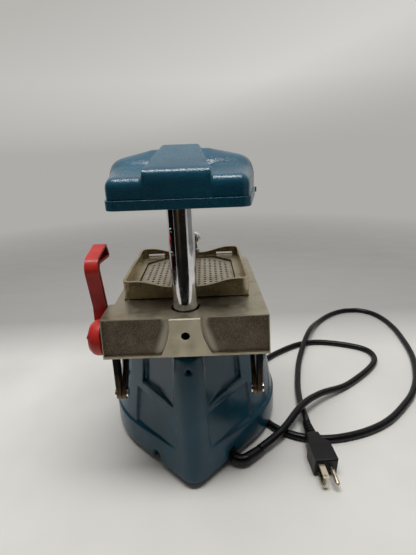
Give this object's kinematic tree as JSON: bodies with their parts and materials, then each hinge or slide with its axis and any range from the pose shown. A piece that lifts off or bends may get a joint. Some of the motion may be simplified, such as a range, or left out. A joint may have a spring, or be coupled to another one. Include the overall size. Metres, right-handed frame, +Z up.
{
  "type": "dental vacuum former",
  "caption": "Dental vacuum former: cast base with suction platform, sheet carriage on a chrome post, red lever and links that lift the clamp frame, swinging heater head and mains cord.",
  "frame": {"origin": "middle of the footprint of the machine on the table, without the cord", "axes": "+Z up; the post and the rear column are at +Y, the switch panel faces -Y; the red lever is on the +X side"},
  "size_m": [0.5122, 0.4434, 0.364],
  "materials": {
    "enamel": "glossy blue-green hammer enamel",
    "casting": "machined and cast, nickel-bronze tone",
    "plate": "brushed",
    "red_enamel": "glossy red enamel",
    "chrome": "polished",
    "steel": "turned",
    "dark_steel": "blackened",
    "black_paint": "satin",
    "housing": "cast",
    "motor": "satin",
    "rubber": "matte",
    "bush": "matte",
    "switch_black": "glossy",
    "switch_red": "glossy",
    "terminal": "matte",
    "reflector": "bright sheet",
    "ceramic": "unglazed ceramic",
    "coil": "oxidised resistance wire",
    "cord": "smooth black sheath",
    "plug": "moulded",
    "pins": "nickel-washed"
  },
  "bodies": {
    "base": {"base_shell": "enamel", "bottom_cover": "black_paint", "rubber_feet": "rubber", "cover_screws": "steel", "post": "chrome", "post_set_screw": "dark_steel", "platform_casting": "casting", "platform_seal": "rubber", "perforated_plate": "plate", "fan_housing": "housing", "vacuum_motor": "motor", "terminal_block": "terminal", "switch_bezels": "switch_black", "head_collar": "steel", "head_ring": "dark_steel", "strain_relief": "plug", "cord": "cord", "plug_body": "plug", "plug_pins": "pins"},
    "impeller": {"impeller": "housing"},
    "heater_switch": {"rocker_heater": "switch_red"},
    "vacuum_switch": {"rocker_vacuum": "switch_black"},
    "carriage": {"carriage": "casting", "post_bush": "bush", "friction_plunger": "dark_steel"},
    "clamp_frame": {"clamp_frame": "casting", "frame_gasket": "rubber"},
    "clamp_screw": {"clamp_screw": "chrome", "ball_knob": "chrome"},
    "lever": {"lever": "red_enamel", "lever_shaft": "steel", "lever_screw": "steel", "left_crank": "dark_steel", "left_pin": "chrome"},
    "left_link": {"left_link": "dark_steel"},
    "right_crank": {"right_shaft": "steel", "right_crank": "dark_steel", "right_pin": "chrome"},
    "right_link": {"right_link": "dark_steel"},
    "head": {"head_cover": "enamel", "head_skirt": "enamel", "head_boss": "housing", "boss_screws": "steel", "reflector": "reflector", "ceramic_plate": "ceramic", "heater_coil": "coil", "plate_rivets": "steel"}
  },
  "joints": [
    {"name": "carriage_slide", "type": "slide", "parent": "base", "child": "carriage", "axis": [0, 0, 1], "range_m": [0, 0.038]},
    {"name": "lever_swing", "type": "hinge", "parent": "carriage", "child": "lever", "pos_m": [0, 0.095, 0.184], "axis": [-1, 0, 0], "range_deg": [0, 28]},
    {"name": "frame_lift", "type": "slide", "parent": "carriage", "child": "clamp_frame", "axis": [0, 0, 1], "range_m": [0, 0.0195]},
    {"name": "right_crank_turn", "type": "hinge", "parent": "carriage", "child": "right_crank", "pos_m": [0, 0.095, 0.184], "axis": [-1, 0, 0], "range_deg": [0, 28.1]},
    {"name": "left_link_turn", "type": "hinge", "parent": "lever", "child": "left_link", "pos_m": [0, 0.10002, 0.1202], "axis": [-1, 0, 0], "range_deg": [0, 2.1]},
    {"name": "right_link_turn", "type": "hinge", "parent": "right_crank", "child": "right_link", "pos_m": [0, 0.10002, 0.1202], "axis": [-1, 0, 0], "range_deg": [0, 2.1]},
    {"name": "clamp_screw_turn", "type": "hinge", "parent": "clamp_frame", "child": "clamp_screw", "pos_m": [-0.006, -0.076, 0.23], "axis": [0, 0, 1], "range_deg": [-180, 180]},
    {"name": "head_swing", "type": "hinge", "parent": "base", "child": "head", "pos_m": [0, 0.085, 0.33], "axis": [0, 0, 1], "range_deg": [-90, 0]},
    {"name": "heater_switch_tip", "type": "hinge", "parent": "base", "child": "heater_switch", "pos_m": [-0.02, -0.11265, 0.074], "axis": [0, 0, 1], "range_deg": [-14, 0]},
    {"name": "vacuum_switch_tip", "type": "hinge", "parent": "base", "child": "vacuum_switch", "pos_m": [0.02, -0.11265, 0.074], "axis": [0, 0, 1], "range_deg": [-14, 0]},
    {"name": "impeller_spin", "type": "hinge", "parent": "base", "child": "impeller", "pos_m": [0, -0.0018, 0.14], "axis": [0, 0, 1], "continuous": true}
  ],
  "couplings": [
    {"joint": "frame_lift", "follows": "lever_swing", "m_per_rad": 0.0396},
    {"joint": "right_crank_turn", "follows": "lever_swing", "ratio": 1},
    {"joint": "left_link_turn", "follows": "lever_swing", "ratio": 0.07},
    {"joint": "right_link_turn", "follows": "lever_swing", "ratio": 0.07}
  ]
}
